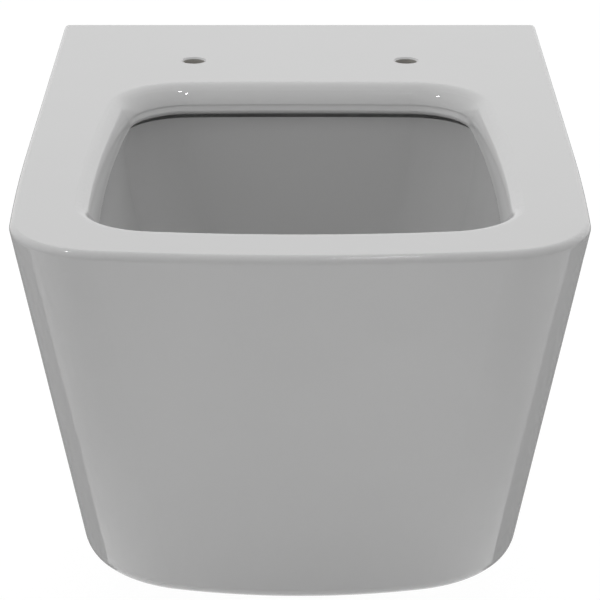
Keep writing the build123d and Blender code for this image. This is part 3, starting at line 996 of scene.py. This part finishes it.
@dataclass(frozen=True)
class Studio:
    """Floor, background, lamps and camera.

    The soft light of the background has a strength for each axis: from the right, the back and
    above in the first set, and from the left, the front and below in the second.
    """

    floor_z: float = -0.32
    floor_half: float = 8.0
    floor_colour: tuple[float, ...] = (0.8, 0.8, 0.8, 1.0)
    floor_roughness: float = 0.8
    floor_white: float = 1.06
    floor_white_share: float = 0.9
    soft_from_right_back: Triple = (0.86, 1.16, 0.0)
    soft_from_left_front: Triple = (1.40, 0.45, 0.0)
    lamps: tuple[Softbox, ...] = (
        Softbox("softbox_top", (0.0, -0.3, 2.4), 1.6, 1.6, 18.4),
        Softbox("softbox_back_right", (1.8, 1.8, 1.4), 1.2, 0.8, 12.0),
        Softbox("sparkle_right", (0.17, -1.4, 2.1), 0.10, 0.10, 1.6, in_gloss=True),
        Softbox("sparkle_far_right", (0.33, -1.1, 2.25), 0.12, 0.10, 1.9, in_gloss=True),
        Softbox("sparkle_left", (-1.3, -0.9, 1.9), 0.12, 0.12, 1.8, in_gloss=True),
    )
    grey_board: Corners = ((0.16, -0.205), (2.0, 0.10), (2.0, 2.6), (0.16, 2.6))
    pale_board: Corners = ((0.10, -1.2), (2.0, -1.2), (2.0, 0.10), (0.10, -0.215))
    board_lift: float = 0.002
    grey_tone: float = 0.30
    white_tone: float = 1.0
    pale_tone: float = 0.62
    pale_x: tuple[float, float] = (0.10, 0.30)

    def build(self) -> None:
        """Set the studio up round the pan."""
        self.floor()
        for side in Side:
            self.board("grey_board", side, self.grey_board, (self.grey_tone, self.grey_tone))
            self.board("pale_board", side, self.pale_board, (self.white_tone, self.pale_tone))
        self.world()
        for lamp in self.lamps:
            lamp.build()
        StudioCamera().build()
        bpy.context.scene.view_settings.view_transform = "Standard"
        log.info("studio: %d lamps", len(self.lamps))

    def seen_directly(self, paint: Paint) -> Socket:
        """1 for camera, glossy and transmission rays, which see the plain background."""
        path = paint.add("ShaderNodeLightPath")
        seen = paint.calculate("MAXIMUM", path.outputs["Is Camera Ray"], path.outputs["Is Glossy Ray"])
        return paint.calculate("MAXIMUM", seen, path.outputs["Is Transmission Ray"])

    def floor(self) -> None:
        """Lay a floor that looks white but keeps a share of its shading, and is clear from below."""
        side = np.array([-1.0, 1.0]) * self.floor_half
        x, y = np.meshgrid(side, side)
        points = np.stack([x, y, np.full_like(x, self.floor_z)], axis=-1).reshape(-1, 3)
        piece = mesh_from_arrays("studio_floor", points, np.array([[0, 1, 3, 2]]))
        material, paint = blank_material("studio_floor")
        shader = paint.tree.nodes["Principled BSDF"]
        shader.inputs["Base Color"].default_value = self.floor_colour
        shader.inputs["Roughness"].default_value = self.floor_roughness
        white = paint.add("ShaderNodeEmission")
        white.inputs["Strength"].default_value = self.floor_white
        share = paint.calculate("MULTIPLY", self.seen_directly(paint), self.floor_white_share)
        from_above = paint.blend(share, shader.outputs[0], white.outputs[0])
        from_below = paint.add("ShaderNodeBsdfTransparent").outputs[0]
        is_below = paint.add("ShaderNodeNewGeometry").outputs["Backfacing"]
        surface = paint.tree.nodes["Material Output"].inputs["Surface"]
        paint.join(paint.blend(is_below, from_above, from_below), surface)
        piece.data.materials.append(material)

    def board(self, kind: str, side: Side, corners: Corners, tones: tuple[float, float]) -> None:
        """Lay a board on the floor that shows in the gloss alone, so that the flanks keep an edge.

        Args:
            kind: Name of the board without its side.
            side: Side of the pan that it lies on.
            corners: Its corners seen from above, for the right side, in metres.
            tones: Its tone nearest the pan's middle and further out, with a smooth change between.
        """
        name = f"{kind}_{side.label}"
        x, y = np.array(corners).T
        height = np.full_like(x, self.floor_z + self.board_lift)
        face = np.array([[0, 1, 2, 3] if side is Side.RIGHT else [3, 2, 1, 0]])
        piece = mesh_from_arrays(name, np.stack([side.sign * x, y, height], axis=-1), face)
        material, paint = blank_material(name)
        split = paint.add("ShaderNodeSeparateXYZ")
        paint.join(paint.add("ShaderNodeTexCoord").outputs["Object"], split.inputs[0])
        tone = paint.add("ShaderNodeMapRange", interpolation_type="SMOOTHSTEP")
        for label, value in zip(("From Min", "From Max", "To Min", "To Max"), (*self.pale_x, *tones)):
            tone.inputs[label].default_value = value
        paint.join(paint.calculate("ABSOLUTE", split.outputs["X"]), tone.inputs["Value"])
        glow = paint.add("ShaderNodeEmission")
        paint.join(tone.outputs["Result"], glow.inputs["Color"])
        paint.join(glow.outputs[0], paint.tree.nodes["Material Output"].inputs["Surface"])
        piece.data.materials.append(material)
        piece.visible_camera = piece.visible_diffuse = False
        piece.visible_shadow = piece.visible_transmission = False

    def lobes(self, paint: Paint, direction: Socket, sign: float, strength: Triple) -> Socket:
        """Soft light from three axes, each falling off with the square of the direction's cosine.

        Args:
            paint: The world's paint.
            direction: Direction that light comes from.
            sign: +1 for the axes themselves, -1 for their opposites.
            strength: Strength of the light from each axis.

        Returns:
            The light's strength in that direction.
        """
        turned = paint.add("ShaderNodeVectorMath", operation="SCALE")
        turned.inputs["Scale"].default_value = sign
        paint.join(direction, turned.inputs[0])
        facing = paint.add("ShaderNodeVectorMath", operation="MAXIMUM")
        paint.join(turned.outputs[0], facing.inputs[0])
        square = paint.add("ShaderNodeVectorMath", operation="MULTIPLY")
        paint.join(facing.outputs[0], square.inputs[0])
        paint.join(facing.outputs[0], square.inputs[1])
        total = paint.add("ShaderNodeVectorMath", operation="DOT_PRODUCT")
        paint.join(square.outputs[0], total.inputs[0])
        total.inputs[1].default_value = strength
        return total.outputs["Value"]

    def world(self) -> None:
        """Make the white background, and the soft light that only diffuse rays see."""
        world = bpy.data.worlds.new("studio_air")
        world.use_nodes = True
        bpy.context.scene.world = world
        paint = Paint(world.node_tree)
        direction = paint.add("ShaderNodeTexCoord").outputs["Generated"]
        from_right_back = self.lobes(paint, direction, 1.0, self.soft_from_right_back)
        from_left_front = self.lobes(paint, direction, -1.0, self.soft_from_left_front)
        soft = paint.tree.nodes["Background"]
        paint.join(paint.calculate("ADD", from_right_back, from_left_front), soft.inputs["Color"])
        white = paint.add("ShaderNodeBackground")
        white.inputs["Color"].default_value = (1.0, 1.0, 1.0, 1.0)
        mixed = paint.blend(self.seen_directly(paint), soft.outputs[0], white.outputs[0])
        paint.join(mixed, paint.tree.nodes["World Output"].inputs["Surface"])


def main() -> None:
    """Build the pan and its studio."""
    logging.basicConfig(level=logging.INFO, format="%(message)s")
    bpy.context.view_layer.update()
    CeramicPan().build()
    PipeWork().build()
    for side in Side:
        FixingSet(side).build()
    Studio().build()


if __name__ == "__main__":
    main()
